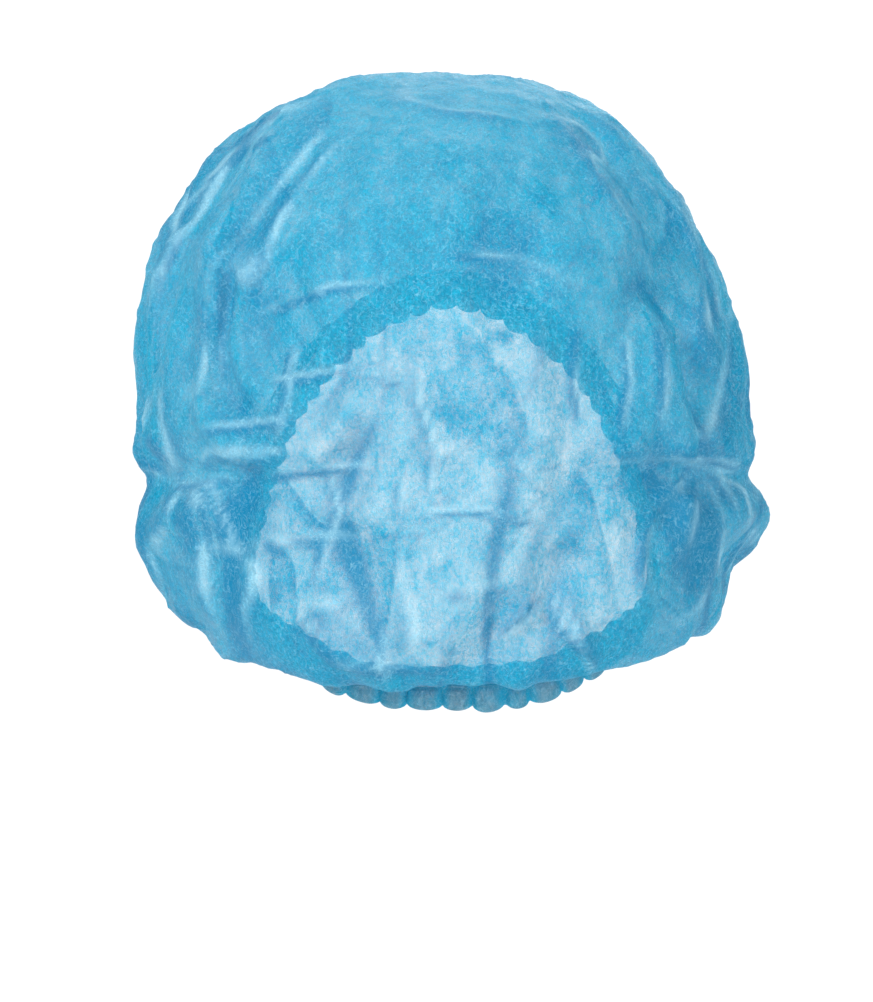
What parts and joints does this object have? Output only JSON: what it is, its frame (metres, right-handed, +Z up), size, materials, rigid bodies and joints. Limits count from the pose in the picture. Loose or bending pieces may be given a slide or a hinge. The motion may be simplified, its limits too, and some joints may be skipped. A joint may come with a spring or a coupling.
{
  "type": "disposable hairnet",
  "caption": "Disposable bouffant cap of thin blue non-woven: a loose pleated bag gathered by an elastic hem into a small ruffle, in the shape it has when worn.",
  "frame": {"origin": "centre of the head opening, half way between nape and forehead", "axes": "+Z up through the crown, +Y towards the wearer's face, +X to the wearer's right"},
  "size_m": [0.2305, 0.242, 0.2273],
  "materials": {
    "crown_cloth": "thin spun-bonded non-woven, half see-through, clouded blue",
    "casing_cloth": "the same non-woven doubled and gathered, denser blue",
    "elastic": "white covered elastic, matt"
  },
  "bodies": {
    "root": {"crown": "crown_cloth", "hem_casing": "casing_cloth", "elastic_cord": "elastic"}
  },
  "joints": []
}
